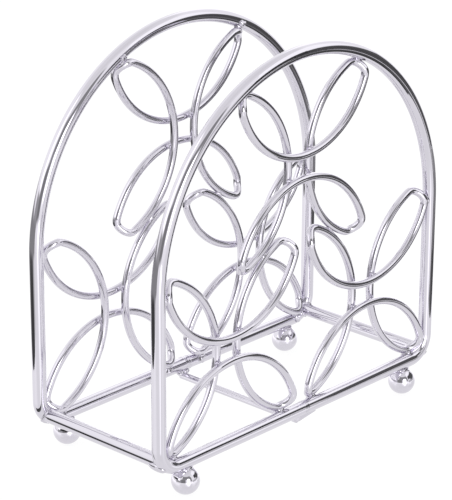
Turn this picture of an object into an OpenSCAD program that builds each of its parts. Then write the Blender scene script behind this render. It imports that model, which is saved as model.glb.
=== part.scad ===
// Wire napkin holder: two arched wire panels filled with wire flowers, joined at the base and standing on
// four balls. The origin is on the table, in the middle of the four balls. The front panel faces -Y.

/* [Frames] */
// Diameter of the wire of the arched frames and the end rails
frame_wire_d = 5.5; // [4:0.1:6.5]
// Spacing of the two posts of a frame, between centre lines
post_spacing = 155; // [152:1:175]
// Spacing of the front and rear frames, between centre lines
panel_spacing = 64; // [40:1:90]
// Distance from the middle of the bottom rail to the joint of the wire's two ends
butt_offset = 2.5; // [2:0.5:6]
// Gap that the butt weld fills between the wire's two ends
butt_gap = 1; // [0.6:0.1:2]
// How far the butt weld stands proud of the wire
butt_bulge = 0.3; // [0.1:0.1:0.6]

/* [Flowers] */
// Diameter of the flower wire
flower_wire_d = 3.2; // [2:0.1:3.6]
// Radius of the four petal tips, to the centre line
petal_tip_r = 4.8; // [3.5:0.1:6]
// Width of the waist, between the centre lines of the two upright arcs
waist_w = 10.9; // [8:0.1:12]
// Height of the waist, between the centre lines of the two level arcs
waist_h = 9.3; // [8:0.1:12]
// Gap between the two lower flowers of a panel
flower_gap = 6.1; // [3:0.1:12]
// How far the flowers sit inwards of the middle of their frame
flower_set_in = 0.7; // [0:0.1:1]

/* [Base] */
// Angle round a corner bend, up from the bottom rail, where an end rail meets it
end_rail_angle = 45; // [35:1:60]
// Diameter of the wire that crosses the middle of the base
cross_wire_d = 3; // [2:0.1:4]
// How far the cross wire stops short of the middle of each bottom rail
cross_wire_inset = 0.8; // [0:0.1:1.5]
// Length of the plate under the front rail's joint
plate_len = 9.5; // [7:0.5:14]
// Width of the plate
plate_w = 4.6; // [4:0.1:7]
// Thickness of the plate beside the cross wire
plate_t = 1.6; // [1:0.1:2.5]
// Thickness of the plate at its far end, to which it tapers
plate_tip_t = 0.4; // [0.3:0.1:0.9]

/* [Feet] */
// Diameter of the ball feet
ball_d = 11; // [8:0.5:14]
// Distance from a post's centre line to the centre of the ball beside it
foot_inset = 14; // [12:0.5:40]
// Diameter of the flat that each ball stands on
ball_flat_d = 2.4; // [1:0.1:4]
// How deep the rail is sunk into the top of a ball
foot_set_in = 0.5; // [0.3:0.1:1]
// Width of the weld round that seat
foot_weld_w = 0.5; // [0.3:0.1:1]
// How far the weld reaches up the rail
foot_weld_h = 1; // [0.6:0.1:1.6]

/* [Welds] */
// Clearance between two wires that are welded together
weld_gap = 0.1; // [0.05:0.05:0.2]
// Radius of the beads that weld a petal to its neighbours
bead_r = 0.8; // [0.5:0.1:1.2]
// Radius of the beads where a flower's wire crosses itself
crossing_bead_r = 0.5; // [0.3:0.1:0.8]
// Width of the weld collar at the ends of the end rails
collar_w = 1.4; // [0.8:0.1:2]

/* [Hidden] */

$fn = 48;
// Rings along one arc and one tip of a flower, and sides of its wire
ARC_STEPS = 9;
TIP_STEPS = 8;
WIRE_SIDES = 8;
CHROME = "#D8D6E0";
WELD = "#B4B2BC";

frame_r = frame_wire_d / 2;
flower_r = flower_wire_d / 2;
cross_r = cross_wire_d / 2;
ball_r = ball_d / 2;

// Heights above the table
ball_z = sqrt(ball_r ^ 2 - (ball_flat_d / 2) ^ 2);
rail_z = ball_z + ball_r - foot_set_in + frame_r;
rail_bottom = rail_z - frame_r;
cross_z = rail_bottom - weld_gap - cross_r;

// The level arcs lie outside the upright arcs, and the wire changes layer round the petal tips.
layer_step = flower_wire_d + weld_gap;
// Distance outwards from the frame's middle plane for a layer from 1, outer, to -1, inner
function layer_out(layer) = layer * layer_step / 2 - flower_set_in;
// Layer of a petal tip at an angle round it, from 0, sideways, to 90, up or down
function tip_layer(angle) = cos(2 * min(max(angle, 0), 90));
// Distance in the panel's plane between the centre lines of a frame and a petal tip that touches it
function seat(layer) = sqrt((frame_r + flower_r + weld_gap) ^ 2 - layer_out(layer) ^ 2);

// The two lower flowers fill the width of the frame, and every flower is as high as it is wide
arch_r = post_spacing / 2;
flower_half = (arch_r - seat(tip_layer(0)) - flower_gap / 2 - flower_r) / 2;

// One flower about its own centre. Its upper right petal lies between the level arc, centred at level_c,
// and the upright arc, centred at upright_c. The tip's circle touches both from inside.
tip_c = [flower_half - petal_tip_r, flower_half - petal_tip_r];
// Radius of an arc that passes a waist and then closes round the tip
function arc_r(waist) =
    let (rise = tip_c.x - waist / 2)
    (tip_c.x ^ 2 + rise ^ 2 - petal_tip_r ^ 2) / (2 * (rise - petal_tip_r));
level_r = arc_r(waist_h);
upright_r = arc_r(waist_w);
level_c = [0, waist_h / 2 + level_r];
upright_c = [waist_w / 2 + upright_r, 0];
tip_start = atan2(tip_c.y - level_c.y, tip_c.x - level_c.x);
tip_end = atan2(tip_c.y - upright_c.y, tip_c.x - upright_c.x);

// Where the flowers sit: the lower two on the rail and against the posts, the top one on them
lower_x = arch_r - seat(tip_layer(0)) - flower_half;
lower_z = rail_z + seat(tip_layer(90)) + flower_half;
touch_r = 2 * upright_r + flower_wire_d + weld_gap;
touch_x = 2 * upright_c.x - lower_x;
top_z = lower_z + sqrt(touch_r ^ 2 - touch_x ^ 2);

// The arch springs from where it just closes over the tips of the top flower
// Height of a tip above the arch's centre, first for a plain seat and then for the seat at that angle
function tip_rise(seat_at) = sqrt((arch_r - seat_at - petal_tip_r) ^ 2 - tip_c.x ^ 2);
arch_guess = atan2(tip_rise(frame_r + flower_r), tip_c.x);
arch_rise = tip_rise(seat(tip_layer(arch_guess)));
arch_angle = atan2(arch_rise, tip_c.x);
spring_z = top_z + tip_c.y - arch_rise;

// The corner bend wraps round the petal tip inside it, and the end rail meets it part of the way round
corner_r = petal_tip_r + flower_r + frame_r + 2 * weld_gap;
corner_x = arch_r - corner_r;
corner_z = rail_z + corner_r;
end_rail_x = corner_x + corner_r * sin(end_rail_angle);
end_rail_z = corner_z - corner_r * cos(end_rail_angle);
end_rail_len = panel_spacing - frame_wire_d - 2 * weld_gap;

// One quarter of a flower's wire as [x, z, layer], from the foot of the level arc to the upright arc
function polar(c, r, a) = [c.x + r * cos(a), c.y + r * sin(a)];
function quarter() = [
    for (i = [0:ARC_STEPS - 1])
        concat(polar(level_c, level_r, -90 + (tip_start + 90) * i / ARC_STEPS), 1),
    for (i = [0:TIP_STEPS - 1])
        let (a = tip_start + (tip_end - tip_start) * i / TIP_STEPS)
        concat(polar(tip_c, petal_tip_r, a), tip_layer(a)),
    for (i = [0:ARC_STEPS])
        concat(polar(upright_c, upright_r, tip_end + (180 - tip_end) * i / ARC_STEPS), -1)
];
function flip(p, sx, sz) = [p.x * sx, p.y * sz, p.z];
// The whole closed loop: upper right, lower right, lower left and upper left petal in turn
function loop() =
    let (q = quarter(), n = len(q) - 1)
    concat(
        [for (i = [0:n - 1]) q[i]],
        [for (i = [n:-1:1]) flip(q[i], 1, -1)],
        [for (i = [0:n - 1]) flip(q[i], -1, -1)],
        [for (i = [n:-1:1]) flip(q[i], -1, 1)]);

function unit(v) = v / norm(v);
// Corners of the wire's cross-section at one point of the loop
function ring(before, at, after) =
    let (along = unit(after - before), out = unit([0, 1, 0] - along.y * along), side = cross(along, out))
    [
        for (k = [0:WIRE_SIDES - 1])
            let (a = 360 * k / WIRE_SIDES)
            at + flower_r * (cos(a) * side + sin(a) * out)
    ];

// A flower of the front panel, centred at a place in the panel's plane
module flower(x, z) {
    path = [for (p = loop()) [p.x, -layer_out(p.z), p.y]];
    n = len(path);
    m = WIRE_SIDES;
    points = [for (i = [0:n - 1]) each ring(path[(i + n - 1) % n], path[i], path[(i + 1) % n])];
    faces = [
        for (i = [0:n - 1], k = [0:m - 1])
            let (j = (i + 1) % n, l = (k + 1) % m)
            each [[i * m + k, i * m + l, j * m + l], [i * m + k, j * m + l, j * m + k]]
    ];
    translate([x, -panel_spacing / 2, z])
        polyhedron(points, faces);
}

// A straight wire along X between two places, at a height
module wire_x(from, to, z, d) {
    translate([from, 0, z]) rotate([0, 90, 0]) cylinder(d = d, h = to - from);
}

// A straight wire along Y, centred on the middle of the holder
module wire_y(x, z, length, d) {
    translate([x, length / 2, z]) rotate([90, 0, 0]) cylinder(d = d, h = length);
}

// A bend in the panel's plane: a round wire through an angle about a centre
module wire_bend(c, r, start, angle, d) {
    translate([c.x, 0, c.y]) rotate([90, 0, 0]) rotate([0, 0, start])
        rotate_extrude(angle = angle) translate([r, 0]) circle(d = d);
}

// The arched wire of the front frame, open at its butt joint
module arch_frame() {
    d = frame_wire_d;
    translate([0, -panel_spacing / 2, 0]) {
        wire_bend([0, spring_z], arch_r, 0, 180, d);
        for (x = [-arch_r, arch_r])
            translate([x, 0, corner_z]) cylinder(d = d, h = spring_z - corner_z);
        wire_bend([corner_x, corner_z], corner_r, -90, 90, d);
        wire_bend([-corner_x, corner_z], corner_r, 180, 90, d);
        wire_x(butt_offset + butt_gap / 2, corner_x, rail_z, d);
        wire_x(-corner_x, butt_offset - butt_gap / 2, rail_z, d);
    }
}

// Repeats what is made for the front panel on the rear panel too
module both_panels() {
    children();
    mirror([0, 1, 0]) children();
}

// Mirrors what is made on the right to the left as well
module both_sides() {
    children();
    mirror([1, 0, 0]) children();
}

// Beads in the two crevices between a wire of the frame and a petal beside it. At is the point of the frame's
// centre line, [x, z], towards is the direction from the petal to the frame, and layer is the petal's.
module seat_beads(at, towards, layer) {
    apart = [-seat(layer), layer_out(layer)];
    to_frame = frame_r + bead_r + weld_gap;
    to_flower = flower_r + bead_r + weld_gap;
    along = (to_frame ^ 2 - to_flower ^ 2 + norm(apart) ^ 2) / (2 * norm(apart));
    aside = sqrt(to_frame ^ 2 - along ^ 2);
    dir = unit(apart);
    for (s = [-1, 1]) {
        p = dir * along + s * aside * [-dir.y, dir.x];
        translate([at.x + towards.x * p.x, -panel_spacing / 2 - p.y, at.y + towards.y * p.x])
            sphere(r = bead_r);
    }
}

module front_arch_frame() { color(CHROME) arch_frame(); }
module rear_arch_frame() { color(CHROME) mirror([0, 1, 0]) arch_frame(); }

module front_top_flower() { color(CHROME) flower(0, top_z); }
module front_left_flower() { color(CHROME) flower(-lower_x, lower_z); }
module front_right_flower() { color(CHROME) flower(lower_x, lower_z); }
module rear_top_flower() { color(CHROME) mirror([0, 1, 0]) flower(0, top_z); }
module rear_left_flower() { color(CHROME) mirror([0, 1, 0]) flower(-lower_x, lower_z); }
module rear_right_flower() { color(CHROME) mirror([0, 1, 0]) flower(lower_x, lower_z); }

module left_end_rail() { color(CHROME) wire_y(-end_rail_x, end_rail_z, end_rail_len, frame_wire_d); }
module right_end_rail() { color(CHROME) wire_y(end_rail_x, end_rail_z, end_rail_len, frame_wire_d); }

module centre_cross_wire() {
    color(CHROME) wire_y(0, cross_z, panel_spacing - 2 * cross_wire_inset, cross_wire_d);
}

// A small tapered plate beside the cross wire, under the joint of the front rail, notched for the butt weld
module front_joint_plate() {
    taper = [[0, 0], [plate_len, plate_t - plate_tip_t], [plate_len, plate_t], [0, plate_t]];
    color(CHROME) difference() {
        translate([cross_r + weld_gap, -(panel_spacing - plate_w) / 2, rail_bottom - weld_gap - plate_t])
            rotate([90, 0, 0]) linear_extrude(plate_w) polygon(taper);
        translate([butt_offset - butt_gap / 2, -panel_spacing / 2, rail_z]) rotate([0, 90, 0])
            cylinder(r = frame_r + butt_bulge + weld_gap, h = butt_gap);
    }
}

// A bottom rail with its clearance, as it is cut out of what seats it
module rail_seat() {
    wire_x(-ball_r, ball_r, rail_z, frame_wire_d + 2 * weld_gap);
}

// A ball with a small flat underneath and a seat for its rail on top; sx and sy are -1 or 1
module ball_foot(sx, sy) {
    color(CHROME) translate([sx * (arch_r - foot_inset), sy * panel_spacing / 2, 0])
        difference() {
            translate([0, 0, ball_z]) sphere(d = ball_d);
            translate([-ball_r, -ball_r, -ball_d]) cube(ball_d);
            rail_seat();
        }
}
module front_left_ball_foot() { ball_foot(-1, -1); }
module front_right_ball_foot() { ball_foot(1, -1); }
module rear_left_ball_foot() { ball_foot(-1, 1); }
module rear_right_ball_foot() { ball_foot(1, 1); }

// The collar of weld metal round the seat of a rail on each ball
module ball_foot_welds() {
    seat_half = sqrt((ball_r + weld_gap) ^ 2 - (rail_bottom - weld_gap - ball_z) ^ 2);
    color(WELD) both_panels() both_sides()
        translate([arch_r - foot_inset, -panel_spacing / 2, 0])
            difference() {
                translate([0, 0, ball_z])
                    cylinder(r = seat_half + foot_weld_w, h = rail_bottom + foot_weld_h - ball_z);
                translate([0, 0, ball_z]) sphere(r = ball_r + weld_gap);
                rail_seat();
            }
}

// The bulged weld between the two ends of each frame's wire
module rail_butt_welds() {
    width = butt_gap - 2 * weld_gap;
    rim = frame_r + butt_bulge - width / 2;
    color(WELD) both_panels()
        translate([butt_offset, -panel_spacing / 2, rail_z]) rotate([0, 90, 0])
            rotate_extrude() {
                translate([0, -width / 2]) square([rim, width]);
                translate([rim, 0]) circle(d = width);
            }
}

// The sloped collars that weld the end rails to the corner bends
module end_rail_welds() {
    bore = frame_r + weld_gap / 2;
    slope = [
        [bore, 0],
        [bore + collar_w, 0],
        [bore + collar_w / 3, collar_w / 3],
        [bore, collar_w]
    ];
    color(WELD) both_panels() both_sides()
        translate([end_rail_x, -end_rail_len / 2, end_rail_z]) rotate([-90, 0, 0])
            rotate_extrude() polygon(slope);
}

// Beads in the inner corners where the cross wire passes under the bottom rails
module cross_wire_welds() {
    x = sqrt((cross_r + bead_r + weld_gap) ^ 2 - (cross_r + weld_gap / 2) ^ 2);
    y = sqrt((frame_r + bead_r + weld_gap) ^ 2 - (frame_r + weld_gap / 2) ^ 2);
    color(WELD) both_panels() both_sides()
        translate([x, -panel_spacing / 2 + y, rail_bottom - weld_gap / 2]) sphere(r = bead_r);
}

module petal_arch_welds() {
    aim = [cos(arch_angle), sin(arch_angle)];
    color(WELD) both_panels() both_sides()
        seat_beads([0, spring_z] + arch_r * aim, aim, tip_layer(arch_angle));
}

module petal_post_welds() {
    color(WELD) both_panels() both_sides()
        seat_beads([arch_r, lower_z + tip_c.y], [1, 0], tip_layer(0));
}

module petal_rail_welds() {
    color(WELD) both_panels() both_sides()
        for (s = [-1, 1])
            seat_beads([lower_x + s * tip_c.x, rail_z], [0, -1], tip_layer(90));
}

// Beads either side of the touching arcs of the top flower and the lower ones
module petal_petal_welds() {
    mid = [lower_x - upright_c.x + touch_x / 2, (lower_z + top_z) / 2];
    aside = sqrt((flower_r + bead_r + weld_gap) ^ 2 - (flower_r + weld_gap / 2) ^ 2);
    color(WELD) both_panels() both_sides()
        for (s = [-1, 1])
            translate([mid.x, -panel_spacing / 2 - layer_out(-1) + s * aside, mid.y]) sphere(r = bead_r);
}

// Beads in the inner and outer corner of each place where a flower's wire crosses itself
module crossing_welds() {
    // The crossing lies where the circles of the level and the upright arc meet, on the waist's side
    span = norm(upright_c - level_c);
    dir = (upright_c - level_c) / span;
    along = (level_r ^ 2 - upright_r ^ 2 + span ^ 2) / (2 * span);
    cross_c = level_c + dir * along - [-dir.y, dir.x] * sqrt(level_r ^ 2 - along ^ 2);
    // A bead's distance from each wire, spread along the petal by half the angle between the two arcs
    aside = sqrt((flower_r + crossing_bead_r + weld_gap) ^ 2 - (layer_step / 2) ^ 2);
    between_radii = acos((level_r ^ 2 + upright_r ^ 2 - span ^ 2) / (2 * level_r * upright_r));
    along_petal = aside / cos(between_radii / 2);
    color(WELD) both_panels()
        for (c = [[0, top_z], [-lower_x, lower_z], [lower_x, lower_z]])
            for (sx = [-1, 1], sz = [-1, 1], s = [-1, 1]) {
                p = cross_c + s * along_petal * unit(cross_c);
                translate([c.x + sx * p.x, -panel_spacing / 2 - layer_out(0), c.y + sz * p.y])
                    sphere(r = crossing_bead_r);
            }
}

front_arch_frame();
rear_arch_frame();
front_top_flower();
front_left_flower();
front_right_flower();
rear_top_flower();
rear_left_flower();
rear_right_flower();
left_end_rail();
right_end_rail();
centre_cross_wire();
front_joint_plate();
front_left_ball_foot();
front_right_ball_foot();
rear_left_ball_foot();
rear_right_ball_foot();
ball_foot_welds();
rail_butt_welds();
end_rail_welds();
cross_wire_welds();
petal_arch_welds();
petal_post_welds();
petal_rail_welds();
petal_petal_welds();
crossing_welds();
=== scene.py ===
"""Chrome wire napkin holder: wires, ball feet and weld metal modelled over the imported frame, in metres."""
import math

import bpy
from mathutils import Matrix, Vector


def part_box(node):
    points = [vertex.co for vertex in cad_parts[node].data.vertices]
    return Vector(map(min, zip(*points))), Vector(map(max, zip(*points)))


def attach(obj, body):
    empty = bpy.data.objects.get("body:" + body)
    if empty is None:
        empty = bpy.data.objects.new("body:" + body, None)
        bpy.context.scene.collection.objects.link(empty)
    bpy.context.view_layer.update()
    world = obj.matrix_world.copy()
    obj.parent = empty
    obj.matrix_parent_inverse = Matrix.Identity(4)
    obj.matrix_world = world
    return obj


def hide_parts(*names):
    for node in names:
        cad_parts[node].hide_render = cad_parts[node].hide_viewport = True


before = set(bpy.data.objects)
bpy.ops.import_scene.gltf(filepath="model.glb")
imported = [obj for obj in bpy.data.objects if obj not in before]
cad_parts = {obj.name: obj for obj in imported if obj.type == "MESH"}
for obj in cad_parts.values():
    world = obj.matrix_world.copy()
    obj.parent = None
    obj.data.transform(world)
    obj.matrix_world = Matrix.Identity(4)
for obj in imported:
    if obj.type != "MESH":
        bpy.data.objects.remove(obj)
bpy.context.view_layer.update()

MM = 0.001
X_AXIS = Vector((1, 0, 0))
Y_AXIS = Vector((0, 1, 0))
Z_AXIS = Vector((0, 0, 1))

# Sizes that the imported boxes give
FRAME_LOW, FRAME_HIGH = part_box("front_arch_frame")
FRAME_R = (FRAME_HIGH.y - FRAME_LOW.y) / 2
PANEL_Y = -(FRAME_HIGH.y + FRAME_LOW.y) / 2
ARCH_R = FRAME_HIGH.x - FRAME_R
RAIL_Z = FRAME_LOW.z + FRAME_R
SPRING_Z = FRAME_HIGH.z - FRAME_R - ARCH_R
FLOWER_LOW, FLOWER_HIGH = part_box("front_top_flower")
LEFT_LOW, LEFT_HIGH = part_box("front_left_flower")
CROSS_LOW, CROSS_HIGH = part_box("centre_cross_wire")
CROSS_R = (CROSS_HIGH.x - CROSS_LOW.x) / 2
CROSS_Z = (CROSS_HIGH.z + CROSS_LOW.z) / 2
END_LOW, END_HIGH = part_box("right_end_rail")
END_X = (END_LOW.x + END_HIGH.x) / 2
END_Z = (END_LOW.z + END_HIGH.z) / 2
BALL_LOW, BALL_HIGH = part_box("front_right_ball_foot")
BALL_X = (BALL_LOW.x + BALL_HIGH.x) / 2
BALL_R = (BALL_HIGH.x - BALL_LOW.x) / 2
PLATE_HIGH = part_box("front_joint_plate")[1]
BUTT_LOW, BUTT_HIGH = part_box("rail_butt_welds")
BUTT_X = (BUTT_LOW.x + BUTT_HIGH.x) / 2

# Sizes of the wires, the feet and their welds
BUTT_GAP = 1 * MM
FLOWER_R = 1.6 * MM
PETAL_TIP_R = 4.8 * MM
WAIST_W = 10.9 * MM
WAIST_H = 9.3 * MM
WELD_GAP = 0.1 * MM
BALL_FLAT_R = 1.2 * MM
CROSS_EDGE = 0.5 * MM

# The wedge under the front joint: half width, depth under the rail at its thick and its thin end, depth in the
# rail, how much sooner it ends than its solid, and its rounded edge
PLATE_HALF = 1.6 * MM
PLATE_DEEP = 1.5 * MM
PLATE_TIP = 0.1 * MM
PLATE_SUNK = 1.2 * MM
PLATE_SHORT = 2.5 * MM
PLATE_EDGE = 0.4 * MM

# Fineness of the meshes
WIRE_SIDES = 48
THIN_WIRE_SIDES = 32
CORNER_STEPS = 24
ARCH_STEPS = 120
ARC_STEPS = 24
TIP_STEPS = 28
FLOWER_ROUNDNESS = 12
BALL_SIDES = 64
BALL_RINGS = 40
EDGE_STEPS = 4
MERGE = 0.001 * MM
SMOOTH_ANGLE = math.radians(50)

# Corner bends, ball centres, and the heights and layers of the flowers
CORNER_R = PETAL_TIP_R + FLOWER_R + FRAME_R + 2 * WELD_GAP
CORNER_X = ARCH_R - CORNER_R
CORNER_Z = RAIL_Z + CORNER_R
BALL_Z = math.sqrt(BALL_R ** 2 - BALL_FLAT_R ** 2)
OUTER_LAYER = -FLOWER_LOW.y - FLOWER_R - PANEL_Y
INNER_LAYER = -FLOWER_HIGH.y + FLOWER_R - PANEL_Y
TOP_Z = (FLOWER_LOW.z + FLOWER_HIGH.z) / 2
LOWER_X = (LEFT_LOW.x + LEFT_HIGH.x) / -2
LOWER_Z = (LEFT_LOW.z + LEFT_HIGH.z) / 2
SEAT_X = math.sqrt((FRAME_R + FLOWER_R + WELD_GAP) ** 2 - OUTER_LAYER ** 2)
FLOWER_HALF = ARCH_R - SEAT_X - LOWER_X

# Camera, found from the photograph: direction, tilt, distance and lens
VIEW_AZIMUTH = math.radians(-47.047)
VIEW_ELEVATION = math.radians(20.898)
VIEW_ROLL = math.radians(0.245)
VIEW_DISTANCE = 976.501 * MM
VIEW_TARGET = Vector((-7.508, 0, 73.385)) * MM
FOCAL_PIXELS = 2522.644
IMAGE_HEIGHT = 500
SENSOR_MM = 36

to_camera = Vector((math.sin(VIEW_AZIMUTH), -math.cos(VIEW_AZIMUTH), 0))
to_right = Vector((math.cos(VIEW_AZIMUTH), math.sin(VIEW_AZIMUTH), 0))


def linear(code):
    """sRGB hex colour as the linear values that a shader takes."""
    parts = [int(code[i:i + 2], 16) / 255 for i in (1, 3, 5)]
    return [c / 12.92 if c <= 0.04045 else ((c + 0.055) / 1.055) ** 2.4 for c in parts] + [1]


WHITE = linear("#FFFFFF")
BLACK = linear("#000000")


def add(tree, kind, inputs=(), **settings):
    """Adds one node with its settings, and sets or links its inputs."""
    made = tree.nodes.new(kind)
    for name, value in settings.items():
        setattr(made, name, value)
    for key, value in dict(inputs).items():
        if isinstance(value, bpy.types.NodeSocket):
            tree.links.new(value, made.inputs[key])
        else:
            made.inputs[key].default_value = value
    return made


# Camera
def set_camera():
    """The camera where the photograph was taken from."""
    back = to_camera * math.cos(VIEW_ELEVATION) + Vector((0, 0, math.sin(VIEW_ELEVATION)))
    up = back.cross(to_right)
    right = to_right * math.cos(VIEW_ROLL) + up * math.sin(VIEW_ROLL)
    turn = Matrix((right, back.cross(right), back)).transposed().to_4x4()
    lens = bpy.data.cameras.new("camera")
    lens.sensor_width = SENSOR_MM
    lens.lens = FOCAL_PIXELS / IMAGE_HEIGHT * SENSOR_MM
    camera = bpy.data.objects.new("camera", lens)
    camera.matrix_world = Matrix.Translation(VIEW_TARGET + back * VIEW_DISTANCE) @ turn
    bpy.context.scene.collection.objects.link(camera)
    bpy.context.scene.camera = camera


# Studio: what stands round the holder, as patches of the sky with soft edges. Columns: azimuth from and to, in
# degrees to the right of the camera, height from and to, in degrees above the table, and radiance.
STUDIO = {
    "pale table in front": (-37, 170, -90, -9, 0.96),
    "dark table on the left": (-141, -119, -68, 23, 0.22),
    "white walls": (-181, 181, -12, 47, 1.1),
    "grey wall on the left": (-78, -35, -7, 23, 0.4),
    "white board on the left": (-125, -87, 4, 49, 1.15),
    "tall white board": (-81, -45, 12, 62, 1.6),
    "dark room on the left": (-118, -55, -90, -12, 0.06),
    "table edge on the left": (-137, -26, -19, -2, 0.3),
    "camera and stand": (-36, 2, -3, 26, 0.25),
    "dark room above the lamp": (-28, 49, 25, 49, 0.3),
    "dark room beside the lamp": (43, 55, 8, 40, 0.3),
    "grey wall on the right": (60, 125, -4, 10, 0.6),
    "soft lamp": (16, 34, 0, 30, 4),
    "white wall behind": (154, 182, -7, 40, 1.4),
    "ceiling light": (-42, 159, 63, 90, 0.88),
}
SOFT_EDGE = 3
CEILING = 0.94
ROOM_BELOW = 0.56


def set_world():
    """The studio as the wires mirror it, and plain white where the camera looks past the holder."""
    world = bpy.data.worlds.new("studio")
    world.use_nodes = True
    bpy.context.scene.world = world
    tree = world.node_tree
    tree.nodes.clear()
    ray = add(tree, "ShaderNodeTexCoord").outputs["Generated"]
    ahead, aside = [add(tree, "ShaderNodeVectorMath", {0: ray, 1: way}, operation="DOT_PRODUCT").outputs["Value"]
                    for way in (to_camera, to_right)]
    height = add(tree, "ShaderNodeSeparateXYZ", {0: ray}).outputs["Z"]
    turn = add(tree, "ShaderNodeMath", {0: aside, 1: ahead}, operation="ARCTAN2").outputs[0]
    rise = add(tree, "ShaderNodeMath", {0: height}, operation="ARCSINE").outputs[0]
    turn, rise = [add(tree, "ShaderNodeMath", {0: a}, operation="DEGREES").outputs[0] for a in (turn, rise)]
    light = add(tree, "ShaderNodeMapRange",
                {0: rise, 1: -SOFT_EDGE, 2: SOFT_EDGE, 3: ROOM_BELOW, 4: CEILING}).outputs[0]
    for turn_from, turn_to, rise_from, rise_to, radiance in STUDIO.values():
        edges = []
        for angle, low, high in ((turn, turn_from, turn_to), (rise, rise_from, rise_to)):
            for start, end in ((low - SOFT_EDGE, low + SOFT_EDGE), (high + SOFT_EDGE, high - SOFT_EDGE)):
                edges.append(add(tree, "ShaderNodeMapRange", {0: angle, 1: start, 2: end},
                                 interpolation_type="SMOOTHSTEP").outputs[0])
        share = edges[0]
        for edge in edges[1:]:
            share = add(tree, "ShaderNodeMath", {0: share, 1: edge}, operation="MULTIPLY").outputs[0]
        light = add(tree, "ShaderNodeMix", {0: share, 2: light, 3: radiance}).outputs[0]
    studio = add(tree, "ShaderNodeBackground", {"Color": WHITE, "Strength": light})
    white = add(tree, "ShaderNodeBackground", {"Color": WHITE, "Strength": 1.0})
    seen = add(tree, "ShaderNodeLightPath").outputs["Is Camera Ray"]
    sky = add(tree, "ShaderNodeMixShader", {0: seen, 1: studio.outputs[0], 2: white.outputs[0]})
    add(tree, "ShaderNodeOutputWorld", {"Surface": sky.outputs[0]})


# Floor and cards: a long glossy white board that runs towards the camera, a dark card and a pale strip to its
# right, a narrow dark card by the left end rail, a painted shadow of that rail, and three cards that stand on
# the right. Only the wires see the cards.
# Columns: right from and to, towards the camera from and to, height from and to, all in mm; turn from the camera's
# direction; glow in the wires.
ALONG_HOLDER = -VIEW_AZIMUTH
FLOOR = {
    "white_board": (-157, 185, -760, 890, 0, 0, 0, 0.9),
    "dark_card": (150, 400, -338, 30, 0.1, 0.1, 0, 0.06),
    "pale_strip": (328, 875, -34, 71, 0.2, 0.2, 0, 0.75),
    # Painted shadow: a dark bar beside the left end rail, which the rail mirrors as a dark line where its own cast
    # shadow would show
    "end_rail_painted_shadow": (-85, -85, -36, 26, 10.4, 15.5, ALONG_HOLDER, 0.02),
    "tall_dark_card": (310, 310, 5, 110, 85, 225, 0, 0.02),
    "low_dark_card": (310, 310, -260, 5, 30, 205, 0, 0.06),
    "tall_white_card": (310, 310, -160, 120, 235, 460, 0, 1.25),
}

# White of the board as the camera sees it, the grey that takes the holder's shadow, and how matt its shine is
BOARD_WHITE = 0.9
BOARD_SHADED = linear("#6C6C6C")
BOARD_ROUGHNESS = 0.08


def board(name, glow):
    """Glossy board: white as the backdrop, with the holder's soft shadow and a shine that mirrors the lamp."""
    made = bpy.data.materials.new("glossy_" + name)
    made.use_nodes = True
    tree = made.node_tree
    tree.nodes.clear()
    path = add(tree, "ShaderNodeLightPath").outputs
    matt = add(tree, "ShaderNodeBsdfDiffuse", {"Color": WHITE})
    faint = add(tree, "ShaderNodeBsdfDiffuse", {"Color": BOARD_SHADED})
    white = add(tree, "ShaderNodeEmission", {"Color": WHITE, "Strength": BOARD_WHITE})
    lit = add(tree, "ShaderNodeAddShader", {0: white.outputs[0], 1: faint.outputs[0]})
    glowing = add(tree, "ShaderNodeEmission", {"Color": WHITE, "Strength": glow})
    shine = add(tree, "ShaderNodeBsdfPrincipled", {"Base Color": BLACK, "Roughness": BOARD_ROUGHNESS})
    shiny = add(tree, "ShaderNodeAddShader", {0: glowing.outputs[0], 1: shine.outputs[0]})
    mirrored = add(tree, "ShaderNodeMath", {0: path["Is Glossy Ray"], 1: path["Is Transmission Ray"]},
                   operation="MAXIMUM").outputs[0]
    mix = add(tree, "ShaderNodeMixShader", {0: mirrored, 1: matt.outputs[0], 2: shiny.outputs[0]})
    mix = add(tree, "ShaderNodeMixShader", {0: path["Is Camera Ray"], 1: mix.outputs[0], 2: lit.outputs[0]})
    add(tree, "ShaderNodeOutputMaterial", {"Surface": mix.outputs[0]})
    return made


def lay_floor():
    """Lays the board, and lays or stands the cards: one that has a height stands."""
    for name, (u0, u1, v0, v1, z0, z1, turned, glow) in FLOOR.items():
        bpy.ops.object.select_all(action="DESELECT")
        bpy.ops.mesh.primitive_plane_add(size=1)
        sheet = bpy.context.object
        sheet.name = name
        stands = z1 > z0
        size = Matrix.Diagonal((z1 - z0 if stands else u1 - u0, v1 - v0, 1, 1))
        tilt = Matrix.Rotation(math.radians(90) if stands else 0, 4, "Y")
        centre = Matrix.Translation(((u0 + u1) / 2, (v0 + v1) / -2, (z0 + z1) / 2))
        turn = Matrix.Rotation(VIEW_AZIMUTH + turned, 4, "Z")
        sheet.data.transform(Matrix.Scale(MM, 4) @ turn @ centre @ tilt @ size)
        sheet.data.materials.append(board(name, glow))
        if name != "white_board":
            sheet.visible_camera = sheet.visible_diffuse = sheet.visible_shadow = False


# Materials
ROUGHNESS_SPREAD = 0.4


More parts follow.
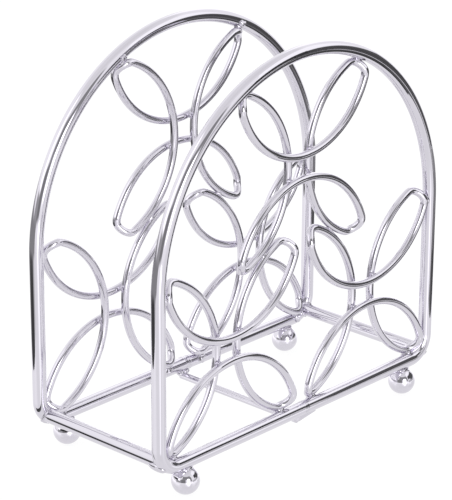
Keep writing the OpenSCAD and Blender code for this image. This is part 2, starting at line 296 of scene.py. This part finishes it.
def chrome(name, base, shade, roughness, wave_mm, wave, grain_mm, grain):
    """Bright chrome plate: a mirror with a cool tint, whose slow waves and fine grain bend the lines it mirrors.
    Waves and grain have a width and a depth in mm. Real grain is finer, and is drawn as coarse as it shows."""
    made = bpy.data.materials.new(name)
    made.use_nodes = True
    tree = made.node_tree
    tree.nodes.clear()
    place = add(tree, "ShaderNodeTexCoord").outputs["Object"]
    waves = add(tree, "ShaderNodeTexNoise", {"Vector": place, "Scale": 1 / (wave_mm * MM), "Detail": 2})
    fine = add(tree, "ShaderNodeTexNoise", {"Vector": place, "Scale": 1 / (grain_mm * MM), "Detail": 3})
    tint = add(tree, "ShaderNodeMix", {0: waves.outputs[0], 6: linear(base), 7: linear(shade)},
               data_type="RGBA")
    rough = add(tree, "ShaderNodeMapRange", {0: fine.outputs[0], 3: roughness * (1 - ROUGHNESS_SPREAD),
                                             4: roughness * (1 + ROUGHNESS_SPREAD)})
    slow = add(tree, "ShaderNodeBump", {"Height": waves.outputs[0], "Strength": 1, "Distance": wave * MM})
    both = add(tree, "ShaderNodeBump", {"Height": fine.outputs[0], "Strength": 1, "Distance": grain * MM,
                                        "Normal": slow.outputs[0]})
    plate = add(tree, "ShaderNodeBsdfPrincipled", {"Base Color": tint.outputs[2], "Metallic": 1.0,
                                                   "Roughness": rough.outputs[0], "Normal": both.outputs[0]})
    add(tree, "ShaderNodeOutputMaterial", {"Surface": plate.outputs[0]})
    return made


def finish(piece, name, node, material):
    """Names a finished piece, gives it its plating, and lets it stand for its CAD node."""
    piece.name = piece.data.name = name
    piece.data.materials.clear()
    piece.data.materials.append(material)
    bpy.ops.object.select_all(action="DESELECT")
    piece.select_set(True)
    bpy.context.view_layer.objects.active = piece
    bpy.ops.object.shade_smooth_by_angle(angle=SMOOTH_ANGLE)
    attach(piece, "root")
    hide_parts(node)
    return piece


# Wires
def ring(at, facing, radius, sides):
    """Starts a wire: a ring at its size and place, square to a direction, open for editing."""
    bpy.ops.object.select_all(action="DESELECT")
    turn = facing.to_track_quat("Z", "Y").to_euler()
    bpy.ops.mesh.primitive_circle_add(vertices=sides, radius=radius, location=at, rotation=turn)
    bpy.ops.object.transform_apply(location=True, rotation=True, scale=True)
    bpy.ops.object.mode_set(mode="EDIT")
    bpy.ops.mesh.select_mode(type="VERT")
    bpy.ops.mesh.select_all(action="SELECT")


def run(way):
    """Draws the wire straight on."""
    bpy.ops.mesh.extrude_region_move(TRANSFORM_OT_translate={"value": way})


def bend(centre, axis, angle, steps):
    """Draws the wire round a bend."""
    bpy.ops.mesh.spin(steps=steps, angle=angle, center=centre, axis=axis)


def close_wire():
    """Closes both ends of a wire and turns its faces outwards."""
    bpy.ops.mesh.select_all(action="SELECT")
    bpy.ops.mesh.remove_doubles(threshold=MERGE)
    bpy.ops.mesh.select_all(action="DESELECT")
    bpy.ops.mesh.select_non_manifold(extend=False, use_wire=False, use_multi_face=False,
                                     use_non_contiguous=False)
    bpy.ops.mesh.fill_holes(sides=0)
    bpy.ops.mesh.select_all(action="SELECT")
    bpy.ops.mesh.normals_make_consistent(inside=False)
    bpy.ops.object.mode_set(mode="OBJECT")
    return bpy.context.object


def arch_frame(side):
    """One arched frame, from its butt joint round both corners and over the arch. Side is -1 in front, 1 behind."""
    y = side * PANEL_Y
    start = Vector((BUTT_X + BUTT_GAP / 2, y, RAIL_Z))
    ring(start, X_AXIS, FRAME_R, WIRE_SIDES)
    run((CORNER_X - start.x, 0, 0))
    bend((CORNER_X, y, CORNER_Z), Y_AXIS, math.radians(90), CORNER_STEPS)
    run((0, 0, SPRING_Z - CORNER_Z))
    bend((0, y, SPRING_Z), Y_AXIS, math.radians(180), ARCH_STEPS)
    run((0, 0, CORNER_Z - SPRING_Z))
    bend((-CORNER_X, y, CORNER_Z), Y_AXIS, math.radians(90), CORNER_STEPS)
    run((CORNER_X + BUTT_X - BUTT_GAP / 2, 0, 0))
    return close_wire()


# Flowers
def arc_radius(waist):
    """Radius of the arc that leaves a waist and runs smoothly into the petal tips."""
    rise = FLOWER_HALF - PETAL_TIP_R - waist / 2
    tip = FLOWER_HALF - PETAL_TIP_R
    return (tip ** 2 + rise ** 2 - PETAL_TIP_R ** 2) / (2 * (rise - PETAL_TIP_R))


LEVEL_R = arc_radius(WAIST_H)
UPRIGHT_R = arc_radius(WAIST_W)
LEVEL_C = Vector((0, WAIST_H / 2 + LEVEL_R))
UPRIGHT_C = Vector((WAIST_W / 2 + UPRIGHT_R, 0))
TIP_C = Vector((FLOWER_HALF - PETAL_TIP_R, FLOWER_HALF - PETAL_TIP_R))


def tip_layer(angle):
    """Layer of a petal tip at an angle round it: 1, outer, at its side and -1, inner, at its top."""
    return math.cos(2 * min(max(angle, 0), math.pi / 2))


def layer_out(layer):
    """Distance of a layer out of the panel's plane."""
    return (OUTER_LAYER + INNER_LAYER) / 2 + layer * (OUTER_LAYER - INNER_LAYER) / 2


def arc(centre, radius, start, end, steps, layer):
    """Points of an arc in the panel's plane, each with its distance out of that plane."""
    for i in range(steps):
        a = start + (end - start) * i / steps
        yield centre.x + radius * math.cos(a), centre.y + radius * math.sin(a), layer_out(layer(a))


def petal_quarter():
    """One quarter of the flower's wire, from the middle of the level arc round a tip to the upright arc."""
    tip_start = math.atan2(TIP_C.y - LEVEL_C.y, TIP_C.x - LEVEL_C.x)
    tip_end = math.atan2(TIP_C.y - UPRIGHT_C.y, TIP_C.x - UPRIGHT_C.x)
    yield from arc(LEVEL_C, LEVEL_R, -math.pi / 2, tip_start, ARC_STEPS, lambda a: 1)
    yield from arc(TIP_C, PETAL_TIP_R, tip_start, tip_end, TIP_STEPS, tip_layer)
    yield from arc(UPRIGHT_C, UPRIGHT_R, tip_end, math.pi, ARC_STEPS, lambda a: -1)
    yield WAIST_W / 2, 0, layer_out(-1)


def flower():
    """The pattern of the flowers, in the front panel: a closed loop of wire bent into four petals that cross."""
    quarter = list(petal_quarter())
    loop = []
    for sx, sz, way in ((1, 1, 1), (1, -1, -1), (-1, -1, 1), (-1, 1, -1)):
        points = quarter[:-1] if way > 0 else quarter[:0:-1]
        loop += [(sx * px, -PANEL_Y - out, sz * pz) for px, pz, out in points]
    line = bpy.data.curves.new("flower", "CURVE")
    line.dimensions = "3D"
    line.bevel_depth = FLOWER_R
    line.bevel_resolution = FLOWER_ROUNDNESS
    spline = line.splines.new("POLY")
    spline.points.add(len(loop) - 1)
    spline.use_cyclic_u = True
    for point, place in zip(spline.points, loop):
        point.co = (*place, 1)
    wire = bpy.data.objects.new("flower", line)
    bpy.context.scene.collection.objects.link(wire)
    bpy.ops.object.select_all(action="DESELECT")
    wire.select_set(True)
    bpy.context.view_layer.objects.active = wire
    bpy.ops.object.convert(target="MESH")
    bpy.ops.object.mode_set(mode="EDIT")
    bpy.ops.mesh.select_all(action="SELECT")
    bpy.ops.mesh.normals_make_consistent(inside=False)
    bpy.ops.object.mode_set(mode="OBJECT")
    return bpy.context.object


# Base
def end_way(half):
    """Direction from a corner bend's centre to the end rail's. Half is -1 on the left, 1 on the right."""
    slope = math.atan2(END_Z - CORNER_Z, END_X - CORNER_X)
    return Vector((half * math.cos(slope), 0, math.sin(slope)))


def end_rail():
    """The right end rail between the frames, its ends coped to the round of the corner bends."""
    ring(Vector((END_X, END_LOW.y, END_Z)), Y_AXIS, FRAME_R, WIRE_SIDES)
    run((0, END_HIGH.y - END_LOW.y, 0))
    piece = close_wire()
    for v in piece.data.vertices:
        off = min(abs((v.co - Vector((END_X, 0, END_Z))).dot(end_way(1))), FRAME_R)
        reach = PANEL_Y - math.sqrt(FRAME_R ** 2 - off ** 2)
        v.co.y = math.copysign(reach, v.co.y)
    return piece


def cross_wire():
    """The thin wire under both bottom rails, with rounded ends."""
    ring(Vector((0, CROSS_LOW.y, CROSS_Z)), Y_AXIS, CROSS_R, THIN_WIRE_SIDES)
    run((0, CROSS_HIGH.y - CROSS_LOW.y, 0))
    piece = close_wire()
    bpy.ops.object.mode_set(mode="EDIT")
    bpy.ops.mesh.select_all(action="DESELECT")
    bpy.ops.object.mode_set(mode="OBJECT")
    for face in piece.data.polygons:
        face.select = len(face.vertices) > 4
    bpy.ops.object.mode_set(mode="EDIT")
    bpy.ops.mesh.select_mode(type="FACE")
    bpy.ops.mesh.region_to_loop()
    bpy.ops.mesh.bevel(offset=CROSS_EDGE, segments=EDGE_STEPS, affect="EDGES")
    bpy.ops.object.mode_set(mode="OBJECT")
    return piece


def ball_foot():
    """The pattern of the ball feet, cut flat where it stands."""
    bpy.ops.object.select_all(action="DESELECT")
    bpy.ops.mesh.primitive_uv_sphere_add(segments=BALL_SIDES, ring_count=BALL_RINGS, radius=BALL_R,
                                         location=(0, 0, BALL_Z))
    bpy.ops.object.transform_apply(location=True, rotation=True, scale=True)
    bpy.ops.object.mode_set(mode="EDIT")
    bpy.ops.mesh.select_all(action="SELECT")
    bpy.ops.mesh.bisect(plane_co=(0, 0, 0), plane_no=Z_AXIS, use_fill=True, clear_inner=True, threshold=MERGE)
    bpy.ops.object.mode_set(mode="OBJECT")
    return bpy.context.object


def joint_plate():
    """The wedge under the joint of the front rail: from the cross wire's end it thins along the rail."""
    low = Vector((-PLATE_HALF, -PANEL_Y - PLATE_HALF, RAIL_Z - FRAME_R - PLATE_DEEP))
    high = Vector((PLATE_HIGH.x - PLATE_SHORT, -PANEL_Y + PLATE_HALF, RAIL_Z - FRAME_R + PLATE_SUNK))
    bpy.ops.object.select_all(action="DESELECT")
    bpy.ops.mesh.primitive_cube_add(size=1, location=(low + high) / 2, scale=high - low)
    bpy.ops.object.transform_apply(location=True, rotation=True, scale=True)
    bpy.ops.object.mode_set(mode="EDIT")
    bpy.ops.mesh.select_all(action="SELECT")
    bpy.ops.mesh.bisect(plane_co=low, plane_no=(PLATE_DEEP - PLATE_TIP, 0, low.x - high.x), use_fill=True,
                        clear_outer=True, threshold=MERGE)
    bpy.ops.mesh.select_all(action="SELECT")
    bpy.ops.mesh.bevel(offset=PLATE_EDGE, segments=EDGE_STEPS, affect="EDGES")
    bpy.ops.object.mode_set(mode="OBJECT")
    return bpy.context.object


# Weld metal: half sizes of its lumps. The first three seat a petal on a frame, and lean turns the last two of these
# round the frame's wire. The corner lumps of the end rails are long in front and small behind.
SEAT_LUMP = Vector((1.9, 1.6, 1.1)) * MM
SIDE_LUMP = Vector((1.7, 1.5, 0.9)) * MM
RAIL_LUMP = Vector((1.9, 2.2, 1.5)) * MM
SIDE_LEAN = math.radians(48)
RAIL_LEAN = math.radians(34)
BALL_LUMP = Vector((3.3, 2.7, 1.2)) * MM
PETAL_LUMP = Vector((1.8, 1.5, 1.0)) * MM
CROSSING_LUMP = Vector((1.4, 1.2, 0.9)) * MM
CROSS_LUMP = Vector((1.8, 1.6, 1.1)) * MM
COLLAR_LUMP = Vector((0.6, 0.6, 0.5)) * MM
COLLAR_LUMPS = 48
CORNER_LUMPS = {-1: Vector((1.4, 4.2, 2.6)) * MM, 1: Vector((0.7, 1.5, 1.8)) * MM}
CORNER_OUT = 0.85 * FRAME_R
UNEVEN_SEED = 4


def lumps(places, rough):
    """Weld metal as one mesh of lumps. A place is a centre, the lump's first two axes, and its half sizes."""
    bpy.ops.object.select_all(action="DESELECT")
    for at, along, across, size in places:
        turn = Matrix((along, across, along.cross(across))).transposed().to_euler()
        bpy.ops.mesh.primitive_ico_sphere_add(subdivisions=2, radius=1, location=at, rotation=turn,
                                              scale=size)
        if bpy.context.mode == "OBJECT":
            bpy.ops.object.transform_apply(location=True, rotation=True, scale=True)
            bpy.ops.object.mode_set(mode="EDIT")
    bpy.ops.mesh.select_all(action="SELECT")
    bpy.ops.transform.vertex_random(offset=rough, normal=1, seed=UNEVEN_SEED)
    bpy.ops.mesh.subdivide(smoothness=1)
    bpy.ops.object.mode_set(mode="OBJECT")
    return bpy.context.object


def seat_lump(side, at, towards, layer, size, lean=0):
    """Weld of a petal on a frame. At lies on the frame's centre line, towards points there from the petal, and
    lean turns the lump round the frame's wire to the napkins' side."""
    angle = math.asin(-layer_out(layer) / (FRAME_R + FLOWER_R + WELD_GAP)) + lean
    outward = -towards * math.cos(angle) - Y_AXIS * side * math.sin(angle)
    along = towards.cross(Y_AXIS)
    return at + outward * FRAME_R, along, outward.cross(along), size


def panel_places(make):
    """Places of a weld in both panels and both halves; make takes the side of the panel and of the half."""
    return [place for side in (-1, 1) for half in (-1, 1) for place in make(side, half)]


def ball_welds(side, half):
    """Between a ball and its rail."""
    yield Vector((half * BALL_X, side * PANEL_Y, RAIL_Z - FRAME_R)), X_AXIS, Y_AXIS, BALL_LUMP


def arch_welds(side, half):
    """Where an upper petal of the top flower meets the arch: under the arch, and on the napkins' side."""
    rise = TOP_Z + TIP_C.y - SPRING_Z
    aim = Vector((half * TIP_C.x, 0, rise)).normalized()
    at = Vector((0, side * PANEL_Y, SPRING_Z)) + aim * ARCH_R
    layer = tip_layer(math.atan2(rise, TIP_C.x))
    yield seat_lump(side, at, aim, layer, SEAT_LUMP)
    yield seat_lump(side, at, aim, layer, SIDE_LUMP, SIDE_LEAN)


def post_welds(side, half):
    """Where the outer upper petal of a lower flower meets the post."""
    at = Vector((half * ARCH_R, side * PANEL_Y, LOWER_Z + TIP_C.y))
    yield seat_lump(side, at, half * X_AXIS, 1, SEAT_LUMP)


def rail_welds(side, half):
    """Where the lower petals of a lower flower meet the bottom rail: on the rail, and on the napkins' side."""
    for tip in (-TIP_C.x, TIP_C.x):
        at = Vector((half * LOWER_X + tip, side * PANEL_Y, RAIL_Z))
        yield seat_lump(side, at, -Z_AXIS, -1, SEAT_LUMP)
        yield seat_lump(side, at, -Z_AXIS, -1, RAIL_LUMP, RAIL_LEAN)


def petal_welds(side, half):
    """Where a petal of the top flower meets one of a lower flower."""
    at = Vector((half * LOWER_X / 2, side * (PANEL_Y + layer_out(-1)), (LOWER_Z + TOP_Z) / 2))
    apart = Vector((half * (LOWER_X - 2 * UPRIGHT_C.x), 0, LOWER_Z - TOP_Z)).normalized()
    yield at, apart.cross(Y_AXIS), Y_AXIS, PETAL_LUMP


def crossing_welds(side, half):
    """Where the wire of each flower crosses itself at the waist."""
    span = UPRIGHT_C - LEVEL_C
    along = (LEVEL_R ** 2 - UPRIGHT_R ** 2 + span.length_squared) / (2 * span.length)
    aside = math.sqrt(LEVEL_R ** 2 - along ** 2)
    way = span.normalized()
    at = LEVEL_C + way * along - Vector((-way.y, way.x)) * aside
    for x, z in ((0, TOP_Z), (-LOWER_X, LOWER_Z), (LOWER_X, LOWER_Z)):
        for up in (-1, 1):
            petal = Vector((half * at.x, 0, up * at.y)).normalized()
            place = Vector((x + half * at.x, side * (PANEL_Y + layer_out(0)), z + up * at.y))
            yield place, petal, petal.cross(Y_AXIS), CROSSING_LUMP


def end_welds(side, half):
    """A collar round the end of an end rail, and a lump at its outer side."""
    across = end_way(half)
    other = across.cross(Y_AXIS)
    for i in range(COLLAR_LUMPS):
        a = 2 * math.pi * (i + 0.5) / COLLAR_LUMPS
        at = Vector((half * END_X, side * (PANEL_Y - FRAME_R * abs(math.sin(a))), END_Z))
        yield at + FRAME_R * (across * math.cos(a) + other * math.sin(a)), across, other, COLLAR_LUMP
    size = CORNER_LUMPS[side]
    at = Vector((half * END_X, side * (PANEL_Y - size.y / 2), END_Z)) + across * CORNER_OUT
    yield at, across, Y_AXIS, size


def cross_welds(side, half):
    """Beside the cross wire, under a bottom rail."""
    at = Vector((half * CROSS_R, side * (PANEL_Y - FRAME_R / 2), RAIL_Z - FRAME_R))
    yield at, X_AXIS, Y_AXIS, CROSS_LUMP


# Butt welds: steps along the rail and radii, in mm. The front one is ground down, and the rear one has a ring at
# each end.
SLEEVES = {
    -1: ((0.7, 2.82), (0.5, 2.84), (0.4, 2.78), (0.5, 2.85), (0.7, 2.7)),
    1: ((0.2, 2.96), (0.5, 2.96), (0.2, 2.8), (0.6, 2.86), (0.6, 2.86), (0.2, 2.8), (0.5, 2.96), (0.2, 2.7)),
}


def butt_weld(side):
    """The swollen weld round the butt joint of one frame."""
    sleeve = SLEEVES[side]
    x = BUTT_X - sum(step for step, radius in sleeve) / 2 * MM
    before = sleeve[-1][1]
    ring(Vector((x, side * PANEL_Y, RAIL_Z)), X_AXIS, before * MM, WIRE_SIDES)
    for step, radius in sleeve:
        run((step * MM, 0, 0))
        x += step * MM
        swell = radius / before
        bpy.ops.transform.resize(value=(1, swell, swell), center_override=(x, side * PANEL_Y, RAIL_Z))
        before = radius
    return close_wire()


def copy_of(pattern, move):
    """A copy of a pattern piece, with its own mesh, moved to its place in that mesh."""
    piece = pattern.copy()
    piece.data = pattern.data.copy()
    piece.data.transform(move)
    bpy.context.scene.collection.objects.link(piece)
    return piece


set_camera()
set_world()
lay_floor()

# Chrome on drawn wire: a clean mirror, whose long lines waver slowly along the posts, arches and rails
thick_chrome = chrome("chrome_on_drawn_wire", "#DDDAE3", "#D8D5DE", 0.04, 14, 0.01, 0.8, 0.0003)
# Chrome on wire bent to petals: the same mirror with closer waves, so that the thin lines break and shimmer
thin_chrome = chrome("chrome_on_bent_wire", "#DDDAE3", "#D6D3DC", 0.04, 10, 0.01, 0.7, 0.0004)
# Chrome on a polished ball: the sharpest mirror, which shows the whole studio small, with a hard bright spot
ball_chrome = chrome("chrome_on_polished_ball", "#DDDAE3", "#D8D5DE", 0.03, 6, 0.003, 0.8, 0.0002)
# Chrome over weld metal: a duller and darker mirror, broken up into glints by the uneven metal under it
weld_chrome = chrome("chrome_over_weld_metal", "#DBD8E1", "#CDCAD3", 0.08, 2, 0.05, 0.5, 0.005)

# Panels and sides, and the turn that brings a front or right pattern there
HALF_TURN = Matrix.Rotation(math.pi, 4, "Z")
NO_TURN = Matrix.Identity(4)
PANELS = ((-1, "front", NO_TURN), (1, "rear", HALF_TURN))
SIDES = ((-1, "left", HALF_TURN), (1, "right", NO_TURN))

flower_pattern = flower()
ball_pattern = ball_foot()
rail_pattern = end_rail()
for side, panel, turn in PANELS:
    finish(arch_frame(side), panel + "_arch_wire", panel + "_arch_frame", thick_chrome)
    for place, x, z in (("top", 0, TOP_Z), ("left", -LOWER_X, LOWER_Z), ("right", LOWER_X, LOWER_Z)):
        name = panel + "_" + place + "_flower"
        piece = copy_of(flower_pattern, Matrix.Translation((x, 0, z)) @ turn)
        finish(piece, name + "_wire", name, thin_chrome)
    for half, place, _ in SIDES:
        name = panel + "_" + place + "_ball"
        piece = copy_of(ball_pattern, Matrix.Translation((half * BALL_X, side * PANEL_Y, 0)))
        finish(piece, name, name + "_foot", ball_chrome)
for half, place, turn in SIDES:
    finish(copy_of(rail_pattern, turn), place + "_end_wire", place + "_end_rail", thick_chrome)
for pattern in (flower_pattern, ball_pattern, rail_pattern):
    bpy.data.objects.remove(pattern)
finish(cross_wire(), "cross_wire", "centre_cross_wire", thin_chrome)
finish(joint_plate(), "joint_plate", "front_joint_plate", thin_chrome)

# Welds: their lumps and how rough they are, in mm
WELDS = {
    "ball_foot_welds": (ball_welds, 0.3),
    "end_rail_welds": (end_welds, 0.06),
    "cross_wire_welds": (cross_welds, 0.12),
    "petal_arch_welds": (arch_welds, 0.35),
    "petal_post_welds": (post_welds, 0.3),
    "petal_rail_welds": (rail_welds, 0.35),
    "petal_petal_welds": (petal_welds, 0.3),
    "crossing_welds": (crossing_welds, 0.25),
}
for node, (make, rough) in WELDS.items():
    finish(lumps(panel_places(make), rough * MM), node + "_metal", node, weld_chrome)
for side, panel, _ in PANELS:
    finish(butt_weld(side), panel + "_butt_weld", "rail_butt_welds", weld_chrome)

bpy.context.scene.view_settings.view_transform = "Standard"
